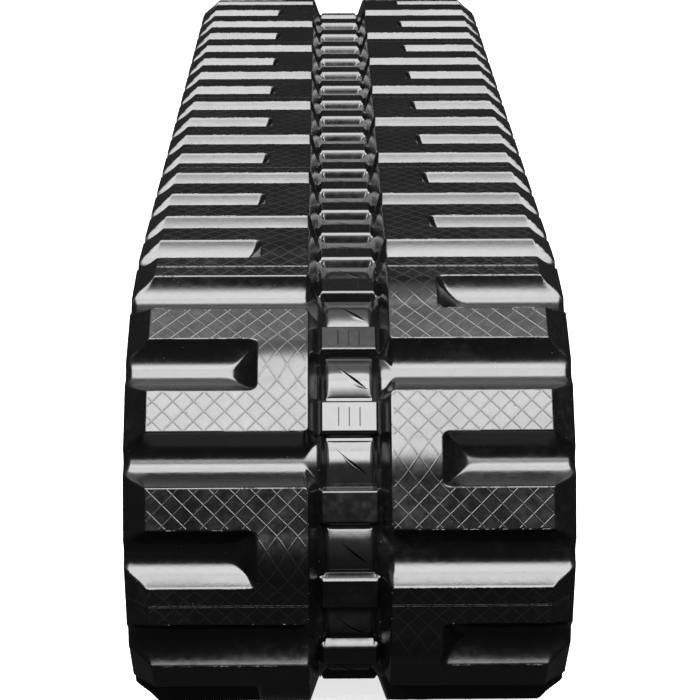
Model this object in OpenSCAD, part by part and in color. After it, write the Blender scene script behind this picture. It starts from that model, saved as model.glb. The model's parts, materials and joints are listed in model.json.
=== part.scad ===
// Continuous rubber track for a compact track loader.
// The loop stands on the ground on its tread. X runs across the track,
// Y along it and Z up. The origin is on the ground under the loop's centre.
//
// The track is one moulding that flexes between its steel cores, so it is
// built here as eight stretches, joined by hinges on the cord line: two
// straight runs, and three short stretches round each end.

/* [Track] */
// Width across the track
track_w = 450; // [400:5:480]
// Distance from one steel core to the next, on the cord line
pitch = 86; // [84:0.5:90]

/* [Tread] */
// Height of the lug tops above the cord line
lug_top = 39; // [34:1:42]
// Length of a lug bar's top, along the track
bar_top = 43; // [38:1:46]
// Length of a lug bar at its base, along the track
bar_base = 64; // [58:1:68]
// Half the gap between the left and right lugs, at their tops
lug_inner_top = 41; // [38:1:46]
// Half the gap between the left and right lugs, at their bases
lug_inner_base = 31; // [31:1:34]
// Width of the bevel along each shoulder
shoulder = 22.5; // [16:0.5:24]
// Inner end of a shoulder pocket at the lug top, from the centre line
pocket_end = 93; // [85:1:110]

/* [Belt] */
// Outer face of the belt, above the cord line
belt_out = 14; // [12:0.5:16]
// Inner face of the belt, below the cord line
belt_in = 18; // [17:0.5:20]
// Height of each roller rail above the inner face
rail_h = 4; // [2:0.5:6]
// Outer face of the cross bridges, above the cord line
bridge_out = 17; // [15:0.5:19]
// Thickness of the rubber film that closes each drive window
film_t = 2; // [1.5:0.5:3]

/* [Guide lugs] */
// Height of a guide lug above the belt's inner face
guide_h = 48; // [36:1:52]
// Length of a guide lug at its base, along the track
guide_base = 50; // [44:1:54]
// Length of a guide lug at its tip, along the track
guide_tip = 28; // [24:1:34]
// Inner side of a guide lug, from the centre line
guide_x0 = 26; // [26:0.5:28]
// Outer side of a guide lug, from the centre line
guide_x1 = 52; // [50:0.5:56]

/* [Steel inside] */
// Diameter of a steel tension cord
cord_d = 6; // [4:0.5:6]
// Number of tension cords on each side
cord_n = 8; // [4:1:8]
// Half the length of a steel core, across the track
core_half = 150; // [120:5:170]
// Thickness of the woven breaker ply
ply_t = 1.2; // [0.8:0.2:1.4]

/* [Hidden] */
$fn = 48;
// Direction of each link, in degrees, going from the rear of the bottom run
// to the front, up round the front end, back along the top and down the rear.
// The rear half is the front half turned by 180 degrees.
half_dirs = [0, 0, 0, 0, 0, 0, 0, 0, 0, 0, 0, 0, 0, 0, 0,
             9, 31, 58, 86, 111, 129, 153.5, 172];
HALF = len(half_dirs);
LINKS = 2 * HALF;
dirs = concat(half_dirs, [for (a = half_dirs) a + 180]);

// Room at each flexing joint: the gap on the cord line, and the angle that
// each side's face stands back from the joint's middle plane.
gap = 0.3;
relief = 5.4;

function dir(a) = [-cos(a), sin(a)];
function out(a) = [-sin(a), -cos(a)];
function ang(i) = dirs[(i + LINKS) % LINKS] + 360 * floor(i / LINKS);
function bend(j) = ang(j) - ang(j - 1);

// Joint points on the cord line, first with the path starting at zero
raw = [for (i = 0, p = [0, 0]; i <= LINKS; p = p + pitch * dir(ang(i)), i = i + 1) p];
shift = [-(raw[0][0] + raw[HALF][0]) / 2, lug_top];
function joint_at(j) = raw[(j + LINKS) % LINKS] + shift;
function mid(i) = (joint_at(i) + joint_at(i + 1)) / 2;

// A point in a link's own frame: s along the track, h out from the cord line
function at(i, s, h) = mid(i) + s * dir(ang(i)) + h * out(ang(i));
// A point at height h on the plane that halves the bend at joint j
function mitre(j, h) = joint_at(j) + h / cos(bend(j) / 2) * out((ang(j) + ang(j - 1)) / 2);
// How far along its link a stretch's end face is at height h
function face(j, h, g) = pitch / 2 - g + h * tan(bend(j) / 2 - sign(h) * relief);
function first_pt(i, h, g = gap) = at(i, -face(i, h, g), h);
function last_pt(i, h, g = gap) = at(i, face(i + 1, h, g), h);

// Each stretch: [first link, last link]
BOTTOM = [-1, 15];
FRONT_LOWER = [16, 17];
FRONT_NOSE = [18, 19];
FRONT_UPPER = [20, 21];
TOP = [22, 38];
REAR_UPPER = [39, 40];
REAR_NOSE = [41, 42];
REAR_LOWER = [43, 44];

// Joints inside a stretch where the track turns
function turns(b) = [for (j = [b[0] + 1 : b[1]]) if (abs(bend(j)) > 0.01) j];

// Side outline of a stretch between heights h0 (inner) and h1 (outer)
function outline(b, h0, h1, g) = concat(
    [first_pt(b[0], h1, g)],
    [for (j = turns(b)) mitre(j, h1)],
    [last_pt(b[1], h1, g)],
    h0 < 0 && h1 > 0 ? [last_pt(b[1], 0, g)] : [],
    [last_pt(b[1], h0, g)],
    [for (k = [len(turns(b)) - 1 : -1 : 0]) mitre(turns(b)[k], h0)],
    [first_pt(b[0], h0, g)],
    h0 < 0 && h1 > 0 ? [first_pt(b[0], 0, g)] : []);

// Extrudes a side outline across the track, from x0 to x1
module across(x0, x1) {
    translate([x0, 0, 0]) rotate([90, 0, 90]) linear_extrude(height = x1 - x0) children();
}
module band(b, x0, x1, h0, h1, g = gap) {
    across(x0, x1) polygon(outline(b, h0, h1, g));
}
// Puts a shape drawn in a link's own frame (x, s, h) in its place
module on_link(i) {
    translate([0, mid(i)[0], mid(i)[1]]) rotate([180 - ang(i), 0, 0]) children();
}

// ---- steel cores ---------------------------------------------------------
// One forged core: wings, a thick bar between the windows, and two horns.
// The rubber is moulded round it, so it lies inside the belt's solids.
module core() {
    // wings
    for (sx = [-1, 1])
        translate([0, 0, -13])
            linear_extrude(height = 8)
                polygon([[sx * 20, -18], [sx * 60, -18], [sx * core_half, -12],
                         [sx * core_half, 12], [sx * 60, 18], [sx * 20, 18]]);
    // bar between the windows
    translate([-26, -13, -13]) cube([52, 26, 22]);
    // horns
    for (sx = [-1, 1])
        across(sx < 0 ? -47 : 31, sx < 0 ? -31 : 47)
            polygon([[-19, -8], [19, -8], [15, -14 - guide_h * 0.5],
                     [9, -13 - guide_h], [-9, -13 - guide_h],
                     [-15, -14 - guide_h * 0.5]]);
}
module cores(b) {
    color([0.40, 0.41, 0.43])
        for (i = [b[0] : b[1]]) on_link(i) core();
}

// ---- tension cords -------------------------------------------------------
cord_x = [for (k = [0 : cord_n - 1]) 50 + 154 * k / (cord_n - 1)];
// Straight stretches of cord: [first joint, last joint]
function cord_runs(b) = let (t = concat([b[0]], turns(b), [b[1] + 1]))
    [for (k = [0 : len(t) - 2]) [t[k], t[k + 1]]];
// One round length to each straight run, a little short of the turns
module cord_line(b, x, d, back) {
    for (r = cord_runs(b)) {
        start = r[0] == b[0] ? back : 1;
        stop = r[1] == b[1] + 1 ? back : 1;
        translate([x, joint_at(r[0])[0], joint_at(r[0])[1]])
            rotate([180 - ang(r[0]), 0, 0]) translate([0, start, 0]) rotate([-90, 0, 0])
                cylinder(d = d, h = (r[1] - r[0]) * pitch - start - stop);
    }
}
module cords(b) {
    color([0.62, 0.52, 0.30])
        for (sx = [-1, 1], x = cord_x) cord_line(b, sx * x, cord_d, 1.6);
}

// ---- breaker ply ---------------------------------------------------------
ply_x0 = 44;
ply_x1 = track_w / 2 - 12;
ply_h = 4;
module ply(b) {
    color([0.78, 0.74, 0.62])
        for (sx = [-1, 1])
            band(b, sx < 0 ? -ply_x1 : ply_x0, sx < 0 ? -ply_x0 : ply_x1, ply_h, ply_h + ply_t, gap + 0.4);
}

// ---- rubber belt ---------------------------------------------------------
bridge_s = 20.5;
module bridge(i) {
    on_link(i)
        across(-30.9, 30.9)
            polygon([[-bridge_s, -belt_in], [bridge_s, -belt_in], [bridge_s, 5],
                     [15.5, bridge_out], [-15.5, bridge_out], [-bridge_s, 5]]);
}
module strip(b, sx) {
    w = track_w / 2;
    band(b, sx < 0 ? -w : 31, sx < 0 ? -31 : w, -belt_in, belt_out);
    band(b, sx < 0 ? -112 : 60, sx < 0 ? -60 : 112, -belt_in - rail_h, -belt_in + 1);
}
module belt(b) {
    color([0.07, 0.07, 0.075]) {
        strip(b, -1);
        strip(b, 1);
        for (i = [b[0] : b[1]]) bridge(i);
    }
}

// ---- rubber guide lugs over the horns ------------------------------------
module guides(b) {
    hi = belt_in;
    color([0.08, 0.08, 0.085])
        for (i = [b[0] : b[1]], sx = [-1, 1]) on_link(i)
            intersection() {
                across(sx < 0 ? -guide_x1 : guide_x0, sx < 0 ? -guide_x0 : guide_x1)
                    polygon([[-guide_base / 2, -hi], [guide_base / 2, -hi],
                             [guide_base / 2 - 3, -hi - guide_h * 0.45],
                             [guide_tip / 2, -hi - guide_h], [-guide_tip / 2, -hi - guide_h],
                             [-guide_base / 2 + 3, -hi - guide_h * 0.45]]);
                translate([0, 30, 0]) rotate([90, 0, 0]) linear_extrude(height = 60)
                    polygon([[sx * guide_x0, -hi], [sx * guide_x1, -hi],
                             [sx * guide_x1, -hi - guide_h + 12], [sx * (guide_x1 - 6), -hi - guide_h],
                             [sx * (guide_x0 + 3), -hi - guide_h], [sx * guide_x0, -hi - guide_h + 6]]);
            }
}

// ---- window films --------------------------------------------------------
film_h = 4;
// Film over the window at joint j. A film at a flexing joint ends short of
// the next stretch.
module film(j, far) {
    s = pitch / 2 - bridge_s - 0.1;
    e = far ? 21 : s;
    h0 = film_h;
    h1 = film_h + film_t;
    difference() {
        across(-30.7, 30.7)
            polygon([at(j - 1, pitch / 2 - s, h1), mitre(j, h1), at(j, -pitch / 2 + e, h1),
                     at(j, -pitch / 2 + e, h0), mitre(j, h0), at(j - 1, pitch / 2 - s, h0)]);
        on_link(j - 1) translate([1.5, pitch / 2, film_h]) rotate([0, 0, -37])
            translate([-19, -0.7, -8]) cube([38, 1.4, 18]);
    }
}
module films(b) {
    color([0.09, 0.09, 0.095])
        for (j = [b[0] + 1 : b[1] + 1]) film(j, j == b[1] + 1);
}

// ---- tread lugs ----------------------------------------------------------
// The C-shaped lugs open towards the shoulders. A lug stands on two links,
// and the left and right rows are one link out of step.
w2 = track_w / 2;
module bar(sx) {
    intersection() {
        across(sx < 0 ? -w2 : 0, sx < 0 ? 0 : w2)
            polygon([[-bar_base / 2, belt_out], [bar_base / 2, belt_out],
                     [bar_top / 2, lug_top], [-bar_top / 2, lug_top]]);
        translate([0, 40, 0]) rotate([90, 0, 0]) linear_extrude(height = 80)
            polygon([[sx * lug_inner_base, belt_out], [sx * w2, belt_out],
                     [sx * w2, lug_top - shoulder], [sx * (w2 - shoulder), lug_top],
                     [sx * lug_inner_top, lug_top]]);
    }
}
// The part of the spine on one link, from its middle to the joint at its
// end (e = 1) or its start (e = -1)
module spine(i, sx, e, edge) {
    j = e > 0 ? i + 1 : i;
    r = edge ? relief : 0;
    g = edge ? gap : 0;
    function f(h) = pitch / 2 - g + h * tan(bend(j) / 2 - r);
    intersection() {
        across(sx < 0 ? -120 : 0, sx < 0 ? 0 : 120)
            polygon([[0, belt_out], [e * f(belt_out), belt_out], [e * f(lug_top), lug_top], [0, lug_top]]);
        translate([0, 70, 0]) rotate([90, 0, 0]) linear_extrude(height = 140)
            polygon([[sx * lug_inner_base, belt_out], [sx * (pocket_end + 14), belt_out],
                     [sx * pocket_end, lug_top], [sx * lug_inner_top, lug_top]]);
    }
}
module half_lug(i, sx, e, edge) {
    on_link(i) {
        bar(sx);
        spine(i, sx, e, edge);
    }
}
module lugs(b) {
    color([0.07, 0.07, 0.075])
        for (sx = [-1, 1]) {
            // the first link of a lug is even on the left and odd on the right
            odd = sx < 0 ? 0 : 1;
            for (i = [b[0] : b[1]])
                if ((i + LINKS) % 2 == odd) {
                    if (i < b[1]) union() {
                        half_lug(i, sx, 1, false);
                        half_lug(i + 1, sx, -1, false);
                    }
                    else half_lug(i, sx, 1, true);
                }
                else if (i == b[0]) half_lug(i, sx, -1, true);
        }
}

belt(BOTTOM);  // bottom_run_belt
lugs(BOTTOM);  // bottom_run_tread_lugs
cores(BOTTOM);  // bottom_run_cores
cords(BOTTOM);  // bottom_run_cords
ply(BOTTOM);  // bottom_run_breaker_ply
guides(BOTTOM);  // bottom_run_guide_lugs
films(BOTTOM);  // bottom_run_window_films
belt(FRONT_LOWER);  // front_lower_belt
lugs(FRONT_LOWER);  // front_lower_tread_lugs
cores(FRONT_LOWER);  // front_lower_cores
cords(FRONT_LOWER);  // front_lower_cords
ply(FRONT_LOWER);  // front_lower_breaker_ply
guides(FRONT_LOWER);  // front_lower_guide_lugs
films(FRONT_LOWER);  // front_lower_window_films
belt(FRONT_NOSE);  // front_nose_belt
lugs(FRONT_NOSE);  // front_nose_tread_lugs
cores(FRONT_NOSE);  // front_nose_cores
cords(FRONT_NOSE);  // front_nose_cords
ply(FRONT_NOSE);  // front_nose_breaker_ply
guides(FRONT_NOSE);  // front_nose_guide_lugs
films(FRONT_NOSE);  // front_nose_window_films
belt(FRONT_UPPER);  // front_upper_belt
lugs(FRONT_UPPER);  // front_upper_tread_lugs
cores(FRONT_UPPER);  // front_upper_cores
cords(FRONT_UPPER);  // front_upper_cords
ply(FRONT_UPPER);  // front_upper_breaker_ply
guides(FRONT_UPPER);  // front_upper_guide_lugs
films(FRONT_UPPER);  // front_upper_window_films
belt(TOP);  // top_run_belt
lugs(TOP);  // top_run_tread_lugs
cores(TOP);  // top_run_cores
cords(TOP);  // top_run_cords
ply(TOP);  // top_run_breaker_ply
guides(TOP);  // top_run_guide_lugs
films(TOP);  // top_run_window_films
belt(REAR_UPPER);  // rear_upper_belt
lugs(REAR_UPPER);  // rear_upper_tread_lugs
cores(REAR_UPPER);  // rear_upper_cores
cords(REAR_UPPER);  // rear_upper_cords
ply(REAR_UPPER);  // rear_upper_breaker_ply
guides(REAR_UPPER);  // rear_upper_guide_lugs
films(REAR_UPPER);  // rear_upper_window_films
belt(REAR_NOSE);  // rear_nose_belt
lugs(REAR_NOSE);  // rear_nose_tread_lugs
cores(REAR_NOSE);  // rear_nose_cores
cords(REAR_NOSE);  // rear_nose_cords
ply(REAR_NOSE);  // rear_nose_breaker_ply
guides(REAR_NOSE);  // rear_nose_guide_lugs
films(REAR_NOSE);  // rear_nose_window_films
belt(REAR_LOWER);  // rear_lower_belt
lugs(REAR_LOWER);  // rear_lower_tread_lugs
cores(REAR_LOWER);  // rear_lower_cores
cords(REAR_LOWER);  // rear_lower_cords
ply(REAR_LOWER);  // rear_lower_breaker_ply
guides(REAR_LOWER);  // rear_lower_guide_lugs
films(REAR_LOWER);  // rear_lower_window_films
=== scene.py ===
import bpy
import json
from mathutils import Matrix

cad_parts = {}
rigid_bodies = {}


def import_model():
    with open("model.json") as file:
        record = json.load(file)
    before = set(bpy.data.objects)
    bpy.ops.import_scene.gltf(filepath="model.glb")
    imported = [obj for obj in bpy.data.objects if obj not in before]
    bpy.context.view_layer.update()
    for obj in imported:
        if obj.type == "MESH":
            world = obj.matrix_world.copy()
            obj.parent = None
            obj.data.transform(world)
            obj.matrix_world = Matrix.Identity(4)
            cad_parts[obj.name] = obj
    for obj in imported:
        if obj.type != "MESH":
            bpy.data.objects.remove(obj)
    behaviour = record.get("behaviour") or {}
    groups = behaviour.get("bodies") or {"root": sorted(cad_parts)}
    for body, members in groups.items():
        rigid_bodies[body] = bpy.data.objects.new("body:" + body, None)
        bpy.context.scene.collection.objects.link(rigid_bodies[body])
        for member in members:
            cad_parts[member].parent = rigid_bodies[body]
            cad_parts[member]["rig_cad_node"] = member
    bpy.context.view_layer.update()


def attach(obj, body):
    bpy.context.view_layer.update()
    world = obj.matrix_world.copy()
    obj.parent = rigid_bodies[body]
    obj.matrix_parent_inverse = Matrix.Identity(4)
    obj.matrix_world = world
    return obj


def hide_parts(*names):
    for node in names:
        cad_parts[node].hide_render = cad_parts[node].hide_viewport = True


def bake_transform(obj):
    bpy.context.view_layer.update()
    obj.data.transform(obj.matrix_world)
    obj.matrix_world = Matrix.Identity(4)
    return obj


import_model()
import json
import math
import random

import bpy
import numpy as np

random.seed(7)
rng = np.random.default_rng(7)

# ---------------------------------------------------------------- the path
PITCH = 86.0
HALF_DIRS = [0] * 15 + [9, 31, 58, 86, 111, 129, 153.5, 172]
HALF = len(HALF_DIRS)
LINKS = 2 * HALF
DIRS = HALF_DIRS + [a + 180 for a in HALF_DIRS]
LUG_TOP, BELT_OUT, BELT_IN = 39.0, 14.0, 18.0


def ang(i):
    return DIRS[i % LINKS] + 360 * (i // LINKS)


_raw = [(0.0, 0.0)]
for a in DIRS:
    y, z = _raw[-1]
    _raw.append((y - PITCH * math.cos(math.radians(a)), z + PITCH * math.sin(math.radians(a))))
_shift = (-(_raw[0][0] + _raw[HALF][0]) / 2, LUG_TOP)
JOINTS = np.array([(_raw[j][0] + _shift[0], _raw[j][1] + _shift[1]) for j in range(LINKS)])
FLEX = 20.0  # half the length that bends, about each joint


def place(S, x, h):
    """Flat track coordinates in mm (S along, x across, h out from the cord line) to the loop, in metres."""
    S, x, h = np.broadcast_arrays(np.asarray(S, float), np.asarray(x, float), np.asarray(h, float))
    j = np.floor(S / PITCH + 0.5).astype(int)
    t = S - j * PITCH
    flat = j.ravel()
    a0 = np.array([ang(k - 1) for k in range(-3, LINKS + 4)])
    a1 = np.array([ang(k) for k in range(-3, LINKS + 4)])
    A = a0[flat + 3].reshape(j.shape)
    B = a1[flat + 3].reshape(j.shape)
    q = np.clip((t + FLEX) / (2 * FLEX), 0, 1)
    w = q * q * (3 - 2 * q)
    th = np.radians(A + (B - A) * w)
    P = JOINTS[flat % LINKS].reshape(j.shape + (2,))
    yy = P[..., 0] - t * np.cos(th) - h * np.sin(th)
    zz = P[..., 1] + t * np.sin(th) - h * np.cos(th)
    return np.stack([x, yy, zz], -1) * 0.001


def on_link(i, s, h):
    """A point of link i's centre plane, in metres."""
    return place((i + 0.5) * PITCH + s, 0.0, h)


# ---------------------------------------------------- the moulded surfaces
def smax(a, b, k):
    d = np.clip(1 - np.abs(a - b) / k, 0, None)
    return np.maximum(a, b) + d * d * k / 4


def smin(a, b, k):
    d = np.clip(1 - np.abs(a - b) / k, 0, None)
    return np.minimum(a, b) - d * d * k / 4


def step(v):
    v = np.clip(v, 0, 1)
    return v * v * (3 - 2 * v)


BAR = 21.2       # half a bar's top, along the track
WIN_X, WIN_S = 22.5, 22.3   # window: half its width, and where it starts from a link's middle
FILLET = 22.0


def outer(S, x):
    """Height of the outer face above the cord line."""
    S, x = np.broadcast_arrays(np.asarray(S, float), np.asarray(x, float))
    j = np.floor(S / PITCH + 0.5).astype(int)
    s = PITCH / 2 - np.abs(S - j * PITCH)
    ax = np.abs(x)
    odd = (j % 2) == 1
    pocket = np.where(x < 0, odd, ~odd)
    d = s - BAR
    # a pocket is a rounded rectangle in plan, with an easier slope at its end
    e = (ax - 91.5) * 0.66
    R = 6.5
    corner = R - np.hypot(np.clip(R - d, 0, None), np.clip(R - e, 0, None))
    near = np.where((d < R) & (e < R), corner, np.minimum(d, e))
    # and the lug's corners at the channel are round in plan
    R2 = 4.0
    qx = (41.0 - ax) * 1.1 + R2
    qd = np.where(pocket, near, d) * 0.92 + R2
    out = np.hypot(np.clip(qx, 0, None), np.clip(qd, 0, None)) - R2 + np.minimum(np.maximum(qx, qd), 0)
    cham = LUG_TOP - (ax - 201.0) * 1.0
    lug = smin(smin(LUG_TOP + 0 * ax, LUG_TOP - out * 2.5, 2.0), cham, 1.2)
    floor = 6.0 + smin(smax((ax - 23.4) * 1.05, 0 * ax, 0.6), 8.0 + 0 * ax, 5.0)
    floor = smin(floor, 14.0 - (ax - 219.0) * 0.9, 3.0)
    rows = smax(lug, floor, 2.6 + (FILLET - 2.6) * step((ax - 35) / 12))
    block = smin(smin(17.0 + 0 * ax, 17.0 - (s - 15.3) * 1.7, 1.4), 13.2 - (s - 17.6) * 5.0, 2.2)
    block = smin(block, 17.0 - (ax - 27.5) * 2.0, 1.6)
    return np.where(ax < 34, smax(rows, block, 1.2), rows)


def inner(S, x):
    """Height of the inner face, below the cord line."""
    S, x = np.broadcast_arrays(np.asarray(S, float), np.asarray(x, float))
    j = np.floor(S / PITCH + 0.5).astype(int)
    s = PITCH / 2 - np.abs(S - j * PITCH)
    ax = np.abs(x)
    rail = smin(smin(BELT_IN + 4.0 + 0 * ax, BELT_IN + (ax - 58.0) * 0.8, 2.0), BELT_IN + (114.0 - ax) * 0.8, 2.0)
    face = smax(BELT_IN + 0 * ax, rail, 2.0)
    # a shallow hollow between the cores, on the outer part of the belt
    face = face - 1.6 * step((s - 26) / 10) * step((ax - 120) / 8) * step((208 - ax) / 8)
    face = smin(face, BELT_IN - (ax - 205.0) * 0.32, 3.0)
    return -face


HALF_S = [0, 4, 8, 11.5, 13.2, 14.2, 15, 16, 17.2, 18.4, 19.4, 20.2, 20.8, 21.3, 21.8, 22.3, 23.4, 25, 26.8, 28.4, 30, 31.6, 33.2, 34.8,
          36, 37.5, 39, 40.5, 41.8, 43]
XS = [0, 5, 10, 15, 19, 21.3, 22.5, 24, 25.6, 26.6, 27.4, 28.2, 29.2, 30.2, 31.4, 32.8, 34.5, 36.5, 38.2, 39.6,
      40.5, 41.3, 42.2, 43.2, 44.6, 46.4, 49, 52, 55, 58, 60, 62, 66, 71, 76, 80, 83, 86, 88.5, 90.5, 91.8, 93, 94.2, 95.5, 96.8, 98.2, 99.6, 101.2, 102.8, 104.5,
      106.5, 108.5, 110.5, 112.5, 115, 118, 122, 128, 138, 150, 165, 180, 191, 197, 199.4, 200.6, 201.6, 203, 206,
      210, 214, 217.5, 220, 222, 223.6, 224.6]
XALL = np.array([-v for v in XS[:0:-1]] + XS, float)
STATIONS = [43 + v for v in HALF_S] + [43 - v for v in HALF_S[1:-1]]
STATIONS = sorted(set(round(v, 3) for v in STATIONS))   # within one link, 0..86 by S


def stations(S0, S1):
    out = []
    for i in range(int(math.floor(S0 / PITCH)) - 1, int(math.ceil(S1 / PITCH)) + 1):
        out += [i * PITCH + v for v in STATIONS]
    out = [v for v in out if S0 - 1e-6 <= v <= S1 + 1e-6]
    out += [S0, S1]
    return np.array(sorted(set(round(v, 4) for v in out)))


class Mesh:
    def __init__(self):
        self.v, self.f, self.flat, self.n = [], [], [], 0

    def add(self, flat, faces):
        """flat: N x 3 array of S, x, h; faces: lists of vertex numbers."""
        flat = np.asarray(flat, float)
        self.v.append(place(flat[:, 0], flat[:, 1], flat[:, 2]))
        self.flat.append(flat)
        if isinstance(faces, np.ndarray):
            self.f.append(faces + self.n)
        else:
            self.f.append([[q + self.n for q in f] for f in faces])
        self.n += len(flat)

    def build(self, name, mats, sharp=38, caps=()):
        v = np.concatenate(self.v)
        loops, totals = [], []
        for block in self.f:
            if isinstance(block, np.ndarray):
                loops.append(block.ravel())
                totals.append(np.full(len(block), block.shape[1]))
            else:
                for f in block:
                    loops.append(np.array(f))
                    totals.append(np.array([len(f)]))
        loops, totals = np.concatenate(loops).astype(np.int32), np.concatenate(totals).astype(np.int32)
        starts = np.concatenate([[0], np.cumsum(totals)[:-1]]).astype(np.int32)
        me = bpy.data.meshes.new(name)
        me.vertices.add(len(v))
        me.vertices.foreach_set("co", v.astype(np.float32).ravel())
        me.loops.add(len(loops))
        me.loops.foreach_set("vertex_index", loops)
        me.polygons.add(len(totals))
        me.polygons.foreach_set("loop_start", starts)
        me.polygons.foreach_set("loop_total", totals)
        me.update(calc_edges=True)
        me.validate()
        flat = np.concatenate(self.flat)
        uv = me.uv_layers.new(name="flat")
        vi = np.zeros(len(me.loops), np.int32)
        me.loops.foreach_get("vertex_index", vi)
        uv.data.foreach_set("uv", (flat[vi][:, :2] * 0.001).astype(np.float32).ravel())
        top = me.attributes.new("lug_top", "FLOAT", "POINT")
        top.data.foreach_set("value", np.clip((flat[:, 2] - 38.0) / 0.9, 0, 1).astype(np.float32))
        me.polygons.foreach_set("use_smooth", np.ones(len(me.polygons), bool))
        me.set_sharp_from_angle(angle=math.radians(sharp))
        for m in mats:
            me.materials.append(m)
        ob = bpy.data.objects.new(name, me)
        bpy.context.scene.collection.objects.link(ob)
        return ob


SIDE = [(225.0, -0.35), (225.0, 0.5), (225.0, 0.92)]


def skin(mesh, S0, S1):
    """The closed section of belt and lugs from S0 to S1, with the drive windows open."""
    st = stations(S0, S1)
    n, m = len(st), len(XALL)
    SS, XX = np.meshgrid(st, XALL, indexing="ij")
    Ho, Hi = outer(SS, XX), inner(SS, XX)
    # columns round the section: outer face left to right, right side, inner face right to left, left side
    k = 3
    q = np.array([0.12, 0.5, 0.88])
    right_h = Ho[:, -1:] + (Hi[:, -1:] - Ho[:, -1:]) * q
    left_h = Hi[:, :1] + (Ho[:, :1] - Hi[:, :1]) * q
    H = np.concatenate([Ho, right_h, Hi[:, ::-1], left_h], 1)
    X = np.concatenate([XX, np.full((n, k), 225.0), XX[:, ::-1], np.full((n, k), -225.0)], 1)
    T = np.repeat(st[:, None], X.shape[1], 1)
    w = X.shape[1]
    idx = np.arange(n * w).reshape(n, w)
    nxt = np.roll(idx, -1, axis=1)
    a, b, c, d = idx[:-1], nxt[:-1], nxt[1:], idx[1:]
    quads = np.stack([a, d, c, b], -1)
    mids = (st[:-1] + st[1:]) / 2
    toj = np.abs(mids - PITCH * np.floor(mids / PITCH + 0.5))
    in_s = toj < PITCH / 2 - WIN_S
    xm = (X[0] + np.roll(X[0], -1)) / 2
    in_x = np.abs(xm) < WIN_X
    in_x[m - 1:m + k] = False
    in_x[2 * m + k - 1:] = False
    hole = in_s[:, None] & in_x[None, :]
    keep = quads[~hole]
    walls = []
    inner_col = lambda c: 2 * m + k - 1 - c     # the inner face's column under outer column c
    cl = int(np.argmin(np.abs(XALL + WIN_X)))
    cr = int(np.argmin(np.abs(XALL - WIN_X)))
    for r in range(n - 1):
        if in_s[r]:
            for c, flip in ((cl, 1), (cr, 0)):
                f = [idx[r, c], idx[r + 1, c], idx[r + 1, inner_col(c)], idx[r, inner_col(c)]]
                walls.append(f[::-1] if flip else f)
    for r in range(n):
        before = in_s[r - 1] if r > 0 else None
        after = in_s[r] if r < n - 1 else None
        if before is None or after is None or before == after:
            continue
        for c in range(cl, cr):
            f = [idx[r, c], idx[r, c + 1], idx[r, inner_col(c + 1)], idx[r, inner_col(c)]]
            walls.append(f if after else f[::-1])
    flat = np.stack([T.ravel(), X.ravel(), H.ravel()], -1)
    faces = keep.reshape(-1, 4)
    if walls:
        faces = np.concatenate([faces, np.array(walls)])
    mesh.add(flat, faces)
    # ends
    for r, turn in ((0, 1), (n - 1, 0)):
        toj = abs(st[r] - PITCH * round(st[r] / PITCH))
        if toj < 1:     # through a window: a cap on each side of it
            cols = list(range(cr, m)) + list(range(m, m + k)) + [inner_col(c) for c in range(m - 1, cr - 1, -1)]
            cols2 = list(range(0, cl + 1)) + [inner_col(c) for c in range(cl, -1, -1)] + list(range(2 * m + k, w))
            caps = [cols, cols2]
        else:
            caps = [list(range(w))]
        for cap in caps:
            ring = flat[idx[r, cap]]
            f = list(range(len(cap)))
            mesh.add(ring, [f if turn else f[::-1]])


def ridge(mesh, S, x, half_w, height, lift=0.0, close=True):
    """A fine raised line along points (S, x) on the outer face."""
    S, x = np.asarray(S, float), np.asarray(x, float)
    dS, dx = np.gradient(S), np.gradient(x)
    L = np.hypot(dS, dx) + 1e-9
    nS, nx = -dx / L * half_w, dS / L * half_w
    h = outer(S, x) + lift
    rows = np.stack([
        np.stack([S - nS, x - nx, outer(S - nS, x - nx) + lift - 0.06], -1),
        np.stack([S - nS * 0.5, x - nx * 0.5, h + height * 0.66], -1),
        np.stack([S, x, h + height], -1),
        np.stack([S + nS * 0.5, x + nx * 0.5, h + height * 0.66], -1),
        np.stack([S + nS, x + nx, outer(S + nS, x + nx) + lift - 0.06], -1)], 1)
    n = len(S)
    idx = np.arange(n * 5).reshape(n, 5)
    q = []
    for c in range(4):
        q.append(np.stack([idx[:-1, c], idx[1:, c], idx[1:, c + 1], idx[:-1, c + 1]], -1))
    mesh.add(rows.reshape(-1, 3), np.concatenate(q))


def lattice(mesh, S0, S1):
    gap = 20.5
    for side in (-1, 1):
        for slope in (-1, 1):
            lo_c, hi_c = 42 - (S1 if slope > 0 else -S0), 202 - (S0 if slope > 0 else -S1)
            for k in range(int(lo_c // gap), int(hi_c // gap) + 2):
                c = k * gap + (6.0 if side > 0 else 0.0)
                n = max(2, int((S1 - S0) / 1.6) + 1)
                S = np.linspace(S0, S1, n)
                ax = c + slope * S
                ok = (ax > 42.6) & (ax < 200.6)
                ok &= outer(S, side * np.clip(ax, 1, 224)) > LUG_TOP - 0.25
                start = None
                for i in range(n + 1):
                    on = i < n and ok[i]
                    if on and start is None:
                        start = i
                    if not on and start is not None:
                        if i - start >= 3:
                            ridge(mesh, S[start:i], side * ax[start:i], 0.9, 0.32)
                        start = None


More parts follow.
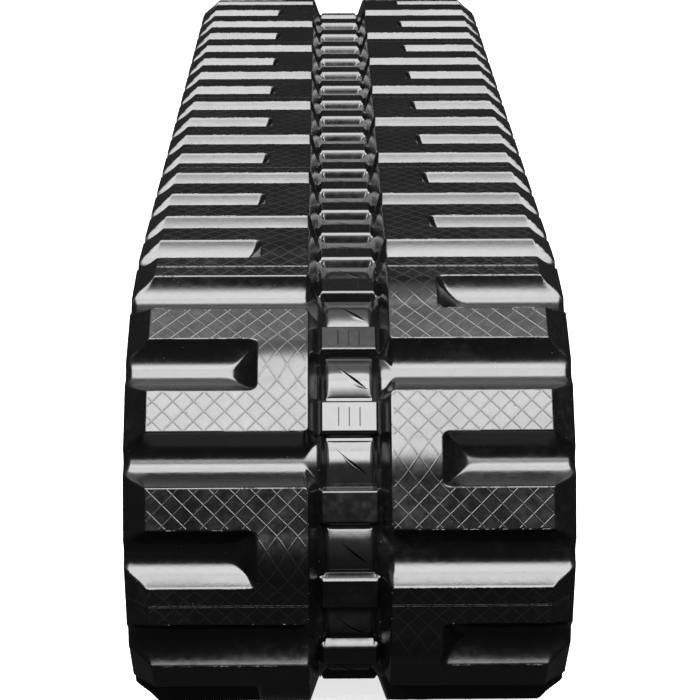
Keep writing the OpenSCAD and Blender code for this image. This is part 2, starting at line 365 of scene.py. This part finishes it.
def marks(mesh, S0, S1):
    """The three fine marks on each centre block, and the mould's parting lines."""
    for i in range(int(S0 // PITCH) - 1, int(S1 // PITCH) + 2):
        mid = (i + 0.5) * PITCH
        for x in (-10.7, 0.0, 10.7):
            a, b = max(mid - 9.5, S0), min(mid + 9.5, S1)
            if b - a > 2:
                ridge(mesh, np.linspace(a, b, 5), np.full(5, x), 0.6, 0.7)
        if i % 4 == 2:
            for off, hgt in ((0.0, 0.34),):
                if S0 - 1e-6 <= mid + off <= S1 + 1e-6:
                    side = 0.9 if mid + 0.9 <= S1 + 1e-6 else -0.9
                    xs = np.concatenate([np.linspace(-224.4, -42, 60), ])
                    for sgn in (-1, 1):
                        ridge(mesh, np.full(60, mid + side), sgn * np.abs(xs), 0.7, hgt)


def flash(mesh, S0, S1):
    """Ragged mould flash along the lugs' top edges."""
    g = np.random.default_rng(int(abs(S0) * 10) + 5)
    for i in range(int(S0 // PITCH) - 1, int(S1 // PITCH) + 2):
        for sgn in (-1, 1):
            edge = (i + 0.5) * PITCH + sgn * (BAR - 0.4)
            if not S0 + 1 < edge < S1 - 1:
                continue
            joint = i if sgn < 0 else i + 1
            for side in (-1, 1):
                pocket = (joint % 2 == 1) if side < 0 else (joint % 2 == 0)
                a = 99.0 if pocket else 46.0
                while a < 196:
                    b = min(a + g.uniform(8, 34), 198.5)
                    if g.random() < 0.62 and b - a > 3:
                        n = max(4, int((b - a) / 1.2))
                        ax = np.linspace(a, b, n)
                        tall = np.clip(0.22 + 0.3 * g.standard_normal(n), 0.05, 0.8) * np.sin(np.linspace(0, math.pi, n)) ** 0.3
                        ridge(mesh, edge + 0.16 * g.standard_normal(n), side * ax, 0.42, tall)
                    a = b + g.uniform(0.5, 9)


def pips(mesh, S0, S1):
    r = random.Random(int(S0 * 10) + 99)
    for i in range(int(S0 // PITCH), int(S1 // PITCH) + 1):
        for side in (-1, 1):
            spots = [((i + 0.5) * PITCH + d, side * 41.4) for d in (-15, 15)]
            spots += [(i * PITCH + d, side * 30.5) for d in (-8, 9)]
            spots += [((i + 0.5) * PITCH + r.uniform(-6, 6), side * r.uniform(120, 190))]
            for S, x in spots:
                if not (S0 + 1 < S < S1 - 1):
                    continue
                if r.random() < 0.25:
                    continue
                h0 = float(outer(S, x))
                rad, tall = 0.7, r.uniform(0.4, 1.6)
                if h0 > 30:
                    tall *= 0.35
                a = np.arange(8) * math.pi / 4
                lean = (r.uniform(-0.4, 0.4), r.uniform(-0.4, 0.4))
                ring0 = np.stack([S + rad * np.cos(a), x + rad * np.sin(a), np.full(8, h0 - 0.6)], -1)
                ring1 = np.stack([S + lean[0] + 0.8 * rad * np.cos(a), x + lean[1] + 0.8 * rad * np.sin(a), np.full(8, h0 + tall)], -1)
                faces = [[q, (q + 1) % 8, 8 + (q + 1) % 8, 8 + q] for q in range(8)] + [list(range(8, 16))]
                mesh.add(np.concatenate([ring0, ring1]), faces)


def film_height(T, X):
    u, v = np.abs(X) / WIN_X, np.abs(T) / (PITCH / 2 - WIN_S)
    dome = np.clip(1 - u ** 14, 0, 1) * np.clip(1 - v ** 14, 0, 1)
    return 6.0 + 0.6 * np.sqrt(dome) + 1.5 * np.clip(1 - v ** 2, 0, 1) * np.clip(1 - u ** 14, 0, 1), dome


def film(mesh, j):
    """The film over window j."""
    n = 25
    g = np.concatenate([[-1.0, -0.985, -0.965, -0.94], np.linspace(-0.90, 0.90, n - 8), [0.94, 0.965, 0.985, 1.0]])
    xs = g * (WIN_X + 0.2)
    ts = g * (PITCH / 2 - WIN_S + 0.2)
    T, X = np.meshgrid(ts, xs, indexing="ij")
    h, dome = film_height(T, X)
    top = np.stack([j * PITCH + T.ravel(), X.ravel(), h.ravel()], -1)
    idx = np.arange(n * n).reshape(n, n)
    q = np.stack([idx[:-1, :-1], idx[1:, :-1], idx[1:, 1:], idx[:-1, 1:]], -1).reshape(-1, 4)
    mesh.add(top, q)
    low = top.copy()
    low[:, 2] -= 1.9
    mesh.add(low, q[:, ::-1])


def slit(mesh, lips, j):
    """The slit of film j: its narrow opening as painted shade, black strips laid on the uncut film and seen from
    outside and inside, and the lifted lip on its far side.
    """
    ca, sa = math.cos(math.radians(38)), math.sin(math.radians(38))
    n = 33
    al = np.linspace(-21.5, 21.5, n)
    wide = np.clip(1 - (al / 21.5) ** 2, 0, 1) * (0.62 + 0.38 * np.tanh(al / 8))
    bow = 0.9 * np.cos(al / 21.5 * math.pi / 2)

    def at(off, up):
        off = off + bow
        # along the slit from the far left to the near right, seen from the front
        X = 1.2 + al * ca - off * sa
        T = al * sa * FLIP + off * ca * FLIP + 0.8
        h, _ = film_height(T, X)
        return np.stack([j * PITCH + T, X, h + up], -1)

    def strip(m, rows, flip=False):
        k = len(rows)
        idx = np.arange(k * n).reshape(k, n)
        q = np.stack([idx[:-1, :-1], idx[:-1, 1:], idx[1:, 1:], idx[1:, :-1]], -1).reshape(-1, 4)
        m.add(np.concatenate(rows), q[:, ::-1] if flip else q)

    # painted shade: the first two strips are black, non-reflecting sheets just over the film's outer face and just
    # under its inner face where the slit opens; the film itself is not cut
    strip(mesh, [at(-2.0 * wide, 0.06), at(-0.3 * wide, 0.05), at(1.3 * wide, 0.06)])
    strip(mesh, [at(-1.2 * wide, -1.97), at(1.2 * wide, -1.97)], True)
    strip(lips, [at(1.0 * wide, 0.0), at(1.2 * wide, 0.35 * wide), at(1.7 * wide, 0.5 * wide), at(3.0 * wide, 0.3 * wide),
                 at(5.0 * wide, 0.1 * wide), at(6.5 * wide, -0.05)])


FLIP = -1.0


def guide(mesh, i):
    """The two rubber guide lugs of link i."""
    mid = (i + 0.5) * PITCH
    levels = [(-15.5, 27.5, 16.5, 39.0), (-17.6, 26.4, 15.0, 39.0), (-19.2, 25.3, 13.9, 39.0), (-21.5, 24.6, 13.2, 39.0), (-30, 23.6, 12.8, 39.0),
              (-39.5, 22.0, 12.4, 39.1), (-50, 18.4, 11.6, 39.3), (-58, 15.6, 10.6, 39.5), (-61.5, 14.2, 9.8, 39.6),
              (-64, 12.6, 8.6, 39.7), (-65.3, 10.6, 7.0, 39.8), (-65.8, 7.6, 4.6, 39.8)]
    n = 40
    a = np.arange(n) * 2 * math.pi / n
    for side in (-1, 1):
        rings = []
        for h, hs, hx, cx in levels:
            p = 0.30
            c, s = np.cos(a), np.sin(a)
            rings.append(np.stack([mid + hs * np.sign(c) * np.abs(c) ** p, side * (cx + hx * np.sign(s) * np.abs(s) ** p), np.full(n, h)], -1))
        flat = np.concatenate(rings)
        m = len(levels)
        idx = np.arange(m * n).reshape(m, n)
        nx = np.roll(idx, -1, 1)
        q = np.stack([idx[:-1], idx[1:], nx[1:], nx[:-1]], -1).reshape(-1, 4)
        if side > 0:
            q = q[:, ::-1]
        mesh.add(flat, q)
        last = idx[-1].tolist()
        mesh.add(rings[-1], [list(range(n))[::-1] if side < 0 else list(range(n))])


# --------------------------------------------------------------- materials
def nodes_of(mat):
    mat.use_nodes = True
    nt = mat.node_tree
    nt.nodes.clear()
    out = nt.nodes.new("ShaderNodeOutputMaterial")
    bsdf = nt.nodes.new("ShaderNodeBsdfPrincipled")
    nt.links.new(bsdf.outputs[0], out.inputs[0])
    return nt, bsdf


def noise(nt, vec, scale, detail=4.0, rough=0.55):
    n = nt.nodes.new("ShaderNodeTexNoise")
    n.inputs["Scale"].default_value = scale
    n.inputs["Detail"].default_value = detail
    n.inputs["Roughness"].default_value = rough
    nt.links.new(vec, n.inputs["Vector"])
    return n.outputs["Fac"]


def ramp(nt, fac, p0, c0, p1, c1):
    r = nt.nodes.new("ShaderNodeMapRange")
    r.inputs["From Min"].default_value = p0
    r.inputs["From Max"].default_value = p1
    r.inputs["To Min"].default_value = c0
    r.inputs["To Max"].default_value = c1
    nt.links.new(fac, r.inputs["Value"])
    return r.outputs["Result"]


def math_node(nt, op, a, b):
    m = nt.nodes.new("ShaderNodeMath")
    m.operation = op
    for k, v in ((0, a), (1, b)):
        if isinstance(v, (int, float)):
            m.inputs[k].default_value = v
        else:
            nt.links.new(v, m.inputs[k])
    return m.outputs[0]


def rubber(name, base=0.0018, rough=(0.15, 0.24), bump=0.30, scuffs=True, coat=0.0):
    mat = bpy.data.materials.new(name)
    nt, b = nodes_of(mat)
    tc = nt.nodes.new("ShaderNodeTexCoord")
    vec = tc.outputs["Object"]
    fine = noise(nt, vec, 900.0, 3.0)
    mid = noise(nt, vec, 120.0, 5.0)
    broad = noise(nt, vec, 11.0, 3.0)
    r = ramp(nt, mid, 0.3, rough[0], 0.75, rough[1])
    r = math_node(nt, "ADD", r, ramp(nt, broad, 0.35, -0.03, 0.7, 0.06))
    if scuffs:
        # the lug tops are duller than the walls of the grooves
        at = nt.nodes.new("ShaderNodeAttribute")
        at.attribute_name = "lug_top"
        mottle = ramp(nt, noise(nt, vec, 46.0, 6.0, 0.72), 0.38, 0.02, 0.66, 0.11)
        r = math_node(nt, "ADD", r, math_node(nt, "MULTIPLY", at.outputs["Fac"], mottle))
    # specks of dust: small light, dull dots
    vor = nt.nodes.new("ShaderNodeTexVoronoi")
    vor.inputs["Scale"].default_value = 210.0
    nt.links.new(vec, vor.inputs["Vector"])
    speck = ramp(nt, vor.outputs["Distance"], 0.03, 1.0, 0.075, 0.0)
    few = nt.nodes.new("ShaderNodeSeparateColor")
    nt.links.new(vor.outputs["Color"], few.inputs[0])
    speck = math_node(nt, "MULTIPLY", speck, ramp(nt, few.outputs[0], 0.93, 0.0, 0.95, 1.0))
    mix = nt.nodes.new("ShaderNodeMix")
    mix.data_type = "RGBA"
    mix.inputs["A"].default_value = (base, base, base * 1.03, 1)
    mix.inputs["B"].default_value = (0.16, 0.155, 0.15, 1)
    dust = math_node(nt, "MULTIPLY", ramp(nt, broad, 0.5, 0.0, 0.85, 0.05), ramp(nt, mid, 0.45, 0.0, 0.7, 1.0))
    fac = math_node(nt, "MAXIMUM", math_node(nt, "MULTIPLY", speck, 0.75), dust) if scuffs else dust
    nt.links.new(fac, mix.inputs["Factor"])
    nt.links.new(mix.outputs["Result"], b.inputs["Base Color"])
    if scuffs:
        # short scuffs along the track
        wave = nt.nodes.new("ShaderNodeMapping")
        wave.inputs["Scale"].default_value = (38.0, 260.0, 260.0)
        nt.links.new(vec, wave.inputs["Vector"])
        sc = noise(nt, wave.outputs[0], 1.0, 2.0, 0.4)
        scf = math_node(nt, "MULTIPLY", ramp(nt, sc, 0.70, 0.0, 0.78, 1.0), ramp(nt, broad, 0.5, 0.0, 0.62, 1.0))
        r = math_node(nt, "ADD", r, math_node(nt, "MULTIPLY", scf, 0.22))
        r = math_node(nt, "ADD", r, math_node(nt, "MULTIPLY", speck, 0.4))
    nt.links.new(r, b.inputs["Roughness"])
    bp = nt.nodes.new("ShaderNodeBump")
    bp.inputs["Strength"].default_value = bump
    bp.inputs["Distance"].default_value = 0.0004
    hgt = math_node(nt, "ADD", math_node(nt, "MULTIPLY", fine, 0.22), math_node(nt, "MULTIPLY", mid, 0.75))
    if scuffs:
        hgt = math_node(nt, "ADD", hgt, math_node(nt, "MULTIPLY", speck, 0.5))
    nt.links.new(hgt, bp.inputs["Height"])
    nt.links.new(bp.outputs[0], b.inputs["Normal"])
    b.inputs["IOR"].default_value = 1.55
    b.inputs["Coat Weight"].default_value = coat
    b.inputs["Coat Roughness"].default_value = 0.12
    return mat


def metal(name, color, rough, metallic=1.0, scale=90.0):
    mat = bpy.data.materials.new(name)
    nt, b = nodes_of(mat)
    tc = nt.nodes.new("ShaderNodeTexCoord")
    vec = tc.outputs["Object"]
    n1 = noise(nt, vec, scale, 5.0)
    n2 = noise(nt, vec, 14.0, 3.0)
    mix = nt.nodes.new("ShaderNodeMix")
    mix.data_type = "RGBA"
    mix.inputs["A"].default_value = (*color, 1)
    mix.inputs["B"].default_value = (*[c * 0.45 for c in color], 1)
    nt.links.new(ramp(nt, n2, 0.4, 0.0, 0.7, 1.0), mix.inputs["Factor"])
    nt.links.new(mix.outputs["Result"], b.inputs["Base Color"])
    b.inputs["Metallic"].default_value = metallic
    nt.links.new(ramp(nt, n1, 0.3, rough - 0.1, 0.7, rough + 0.12), b.inputs["Roughness"])
    bp = nt.nodes.new("ShaderNodeBump")
    bp.inputs["Strength"].default_value = 0.3
    bp.inputs["Distance"].default_value = 0.0005
    nt.links.new(n1, bp.inputs["Height"])
    nt.links.new(bp.outputs[0], b.inputs["Normal"])
    return mat


def woven(name):
    mat = bpy.data.materials.new(name)
    nt, b = nodes_of(mat)
    tc = nt.nodes.new("ShaderNodeTexCoord")
    vec = tc.outputs["Object"]
    heights = []
    for axis in ("X", "Y"):
        w = nt.nodes.new("ShaderNodeTexWave")
        w.bands_direction = axis
        w.inputs["Scale"].default_value = 260.0
        nt.links.new(vec, w.inputs["Vector"])
        heights.append(w.outputs["Fac"])
    h = math_node(nt, "MULTIPLY", heights[0], heights[1])
    mix = nt.nodes.new("ShaderNodeMix")
    mix.data_type = "RGBA"
    mix.inputs["A"].default_value = (0.36, 0.31, 0.22, 1)
    mix.inputs["B"].default_value = (0.62, 0.56, 0.44, 1)
    nt.links.new(h, mix.inputs["Factor"])
    nt.links.new(mix.outputs["Result"], b.inputs["Base Color"])
    b.inputs["Roughness"].default_value = 0.85
    bp = nt.nodes.new("ShaderNodeBump")
    bp.inputs["Strength"].default_value = 0.6
    bp.inputs["Distance"].default_value = 0.0005
    nt.links.new(h, bp.inputs["Height"])
    nt.links.new(bp.outputs[0], b.inputs["Normal"])
    return mat


M_TREAD = rubber("tread_rubber")
M_LINE = rubber("raised_line_rubber", base=0.004, rough=(0.17, 0.27), bump=0.1, scuffs=False)
# painted shade: black with no specular reflection, for the strips that stand in for the slit's dark opening
M_SLIT_PAINTED_SHADE = bpy.data.materials.new("slit_shadow")
_nt, _b = nodes_of(M_SLIT_PAINTED_SHADE)
_tc = _nt.nodes.new("ShaderNodeTexCoord")
_b.inputs["Base Color"].default_value = (0.001, 0.001, 0.001, 1)
_b.inputs["Specular IOR Level"].default_value = 0.0
_nt.links.new(ramp(_nt, noise(_nt, _tc.outputs["Object"], 300.0), 0.3, 0.8, 0.7, 1.0), _b.inputs["Roughness"])
M_FILM = rubber("film_rubber", base=0.006, rough=(0.12, 0.2), bump=0.2, scuffs=False)
M_GUIDE = rubber("guide_rubber", base=0.01, rough=(0.3, 0.45), bump=0.5)
M_CORE = metal("forged_steel", (0.30, 0.29, 0.28), 0.5)
M_CORD = metal("brass_plated_cord", (0.72, 0.55, 0.28), 0.32, scale=300.0)
M_PLY = woven("woven_ply")

for ob in list(bpy.context.scene.objects):
    node = ob.get("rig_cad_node")
    if not node:
        continue
    m = M_CORE if node.endswith("_cores") else M_CORD if node.endswith("_cords") else M_PLY if node.endswith("_ply") else None
    if m:
        ob.data.materials.clear()
        ob.data.materials.append(m)

# ------------------------------------------------------------------ pieces
STRETCHES = [("bottom_run", -1, 15), ("front_lower", 16, 17), ("front_nose", 18, 19), ("front_upper", 20, 21),
             ("top_run", 22, 38), ("rear_upper", 39, 40), ("rear_nose", 41, 42), ("rear_lower", 43, 44)]


def dressed(name, S0, S1, body=None, joint=None):
    m = Mesh()
    skin(m, S0, S1)
    o = m.build(name, [M_TREAD])
    d = Mesh()
    lattice(d, S0, S1)
    marks(d, S0, S1)
    flash(d, S0, S1)
    pips(d, S0, S1)
    parts = [o]
    if d.n:
        e = d.build(name + "_raised_lines", [M_LINE], sharp=180)
        parts.append(e)
    for p in parts:
        if body:
            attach(p, body)
        else:
            a = on_link(joint - 1, 22.0, 0.0)
            b = on_link(joint, -22.0, 0.0)
            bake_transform(p)
    return o


def films(name, joints):
    f, slit_shade_mesh = Mesh(), Mesh()
    for j in joints:
        film(f, j)
        # the slit's opening goes in as painted shade strips on their own mesh; its lip goes on the film
        slit(slit_shade_mesh, f, j)
    made = [f.build(name, [M_FILM]), slit_shade_mesh.build(name + "_slit_painted_shade", [M_SLIT_PAINTED_SHADE])]
    return made


for n, (name, a, b) in enumerate(STRETCHES):
    S0 = (a + 0.5) * PITCH if name != "bottom_run" else a * PITCH
    S1 = (b + 0.5) * PITCH if name != "rear_lower" else (b + 1) * PITCH
    o = dressed(name + "_tread", S0, S1, body=name)
    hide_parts(name + "_belt", name + "_tread_lugs")
    g = Mesh()
    for i in range(a, b + 1):
        guide(g, i)
    og = g.build(name + "_guides", [M_GUIDE])
    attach(og, name)
    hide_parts(name + "_guide_lugs")
    last = b + 1 if name == "rear_lower" else b
    for of in films(name + "_films", range(a + 1, last + 1)):
        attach(of, name)
        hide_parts(name + "_window_films")
    if name != "rear_lower":
        nxt = STRETCHES[n + 1]
        j = nxt[1]
        dressed(name + "_flex", (j - 0.5) * PITCH, (j + 0.5) * PITCH, joint=j)
        for of in films(name + "_flex_film", [j]):
            tuple(on_link(j - 1, 22.0, 0.0))
            tuple(on_link(j, -22.0, 0.0))
            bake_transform(of)


# ------------------------------------------------------------------- stage
def plain(name, color, rough=0.9):
    mat = bpy.data.materials.new(name)
    nt, b = nodes_of(mat)
    b.inputs["Base Color"].default_value = (*color, 1)
    b.inputs["Roughness"].default_value = rough
    return mat


def box_light(name, loc, target, size, power, color=(1, 1, 1)):
    L = bpy.data.lights.new(name, "AREA")
    L.shape = "RECTANGLE"
    L.size, L.size_y = size
    L.energy = power
    L.color = color
    o = bpy.data.objects.new(name, L)
    bpy.context.scene.collection.objects.link(o)
    from mathutils import Vector
    o.location = loc
    o.rotation_mode = "QUATERNION"
    o.rotation_quaternion = (Vector(target) - Vector(loc)).to_track_quat("-Z", "Y")
    return o


floor = bpy.data.meshes.new("floor")
floor.from_pydata([(-30, -30, -0.0005), (30, -30, -0.0005), (30, 30, -0.0005), (-30, 30, -0.0005)], [], [(0, 1, 2, 3)])
fo = bpy.data.objects.new("floor", floor)
bpy.context.scene.collection.objects.link(fo)
fm = plain("floor_white", (0.9, 0.9, 0.9))
fb = next(q for q in fm.node_tree.nodes if q.type == "BSDF_PRINCIPLED")
fb.inputs["Emission Color"].default_value = (1, 1, 1, 1)
fb.inputs["Emission Strength"].default_value = 0.75
floor.materials.append(fm)

world = bpy.data.worlds.new("studio")
bpy.context.scene.world = world
bpy.context.scene.view_settings.view_transform = "Standard"
world.use_nodes = True
wt = world.node_tree
bg = wt.nodes["Background"]
bg.inputs[0].default_value = (1.0, 1.0, 1.0, 1)
lp = wt.nodes.new("ShaderNodeLightPath")
mr = wt.nodes.new("ShaderNodeMapRange")
mr.inputs["To Min"].default_value = 0.045
mr.inputs["To Max"].default_value = 1.0
wt.links.new(lp.outputs["Is Camera Ray"], mr.inputs["Value"])
wt.links.new(mr.outputs["Result"], bg.inputs[1])
fo.visible_glossy = False
fo.visible_diffuse = False


def panel(name, centre, elevation, width, length, radiance):
    """A softbox that faces the front of the loop from that elevation, seen from the loop's front end."""
    from mathutils import Vector
    e = math.radians(elevation)
    focus = Vector((0.0, -0.80, 0.30))
    loc = focus + Vector((0.0, -math.cos(e), math.sin(e))) * centre
    return box_light(name, tuple(loc), tuple(focus), (width, length), radiance * math.pi * width * length)


for k, power in enumerate((1.2, 5.5, 11.0)):
    panel("softbox_edge_%d" % k, 3.6, 32.0 + 4.0 * k, 4.6, 0.25, power)
panel("softbox_low", 3.6, 54.0, 4.6, 1.5, 14.5)
panel("softbox_high", 3.6, 79.5, 4.6, 1.68, 13.0)
for k, power in enumerate((3.6, 1.7, 1.2, 1.1, 1.0, 0.8, 0.5, 0.3)):
    panel("softbox_top_%d" % k, 3.6, 95.9 + 6.0 * k, 4.3, 0.375, power)

# ------------------------------------------------------------------ camera
cam = bpy.data.cameras.new("camera")
cam.sensor_width = 36.0
cam.lens = 104.0
co = bpy.data.objects.new("camera", cam)
bpy.context.scene.collection.objects.link(co)
co.rotation_mode = "QUATERNION"
from mathutils import Vector
yaw, tilt = math.radians(0.7), math.radians(21.26)
look = Vector((math.sin(yaw) * math.cos(tilt), math.cos(yaw) * math.cos(tilt), -math.sin(tilt)))
zt = (JOINTS[HALF][1]) * 0.001
co.location = (-0.022, -2.710 + 0.0268, zt + 0.7195)
co.rotation_quaternion = look.to_track_quat("-Z", "Y")
cam.clip_end = 100
bpy.context.scene.camera = co
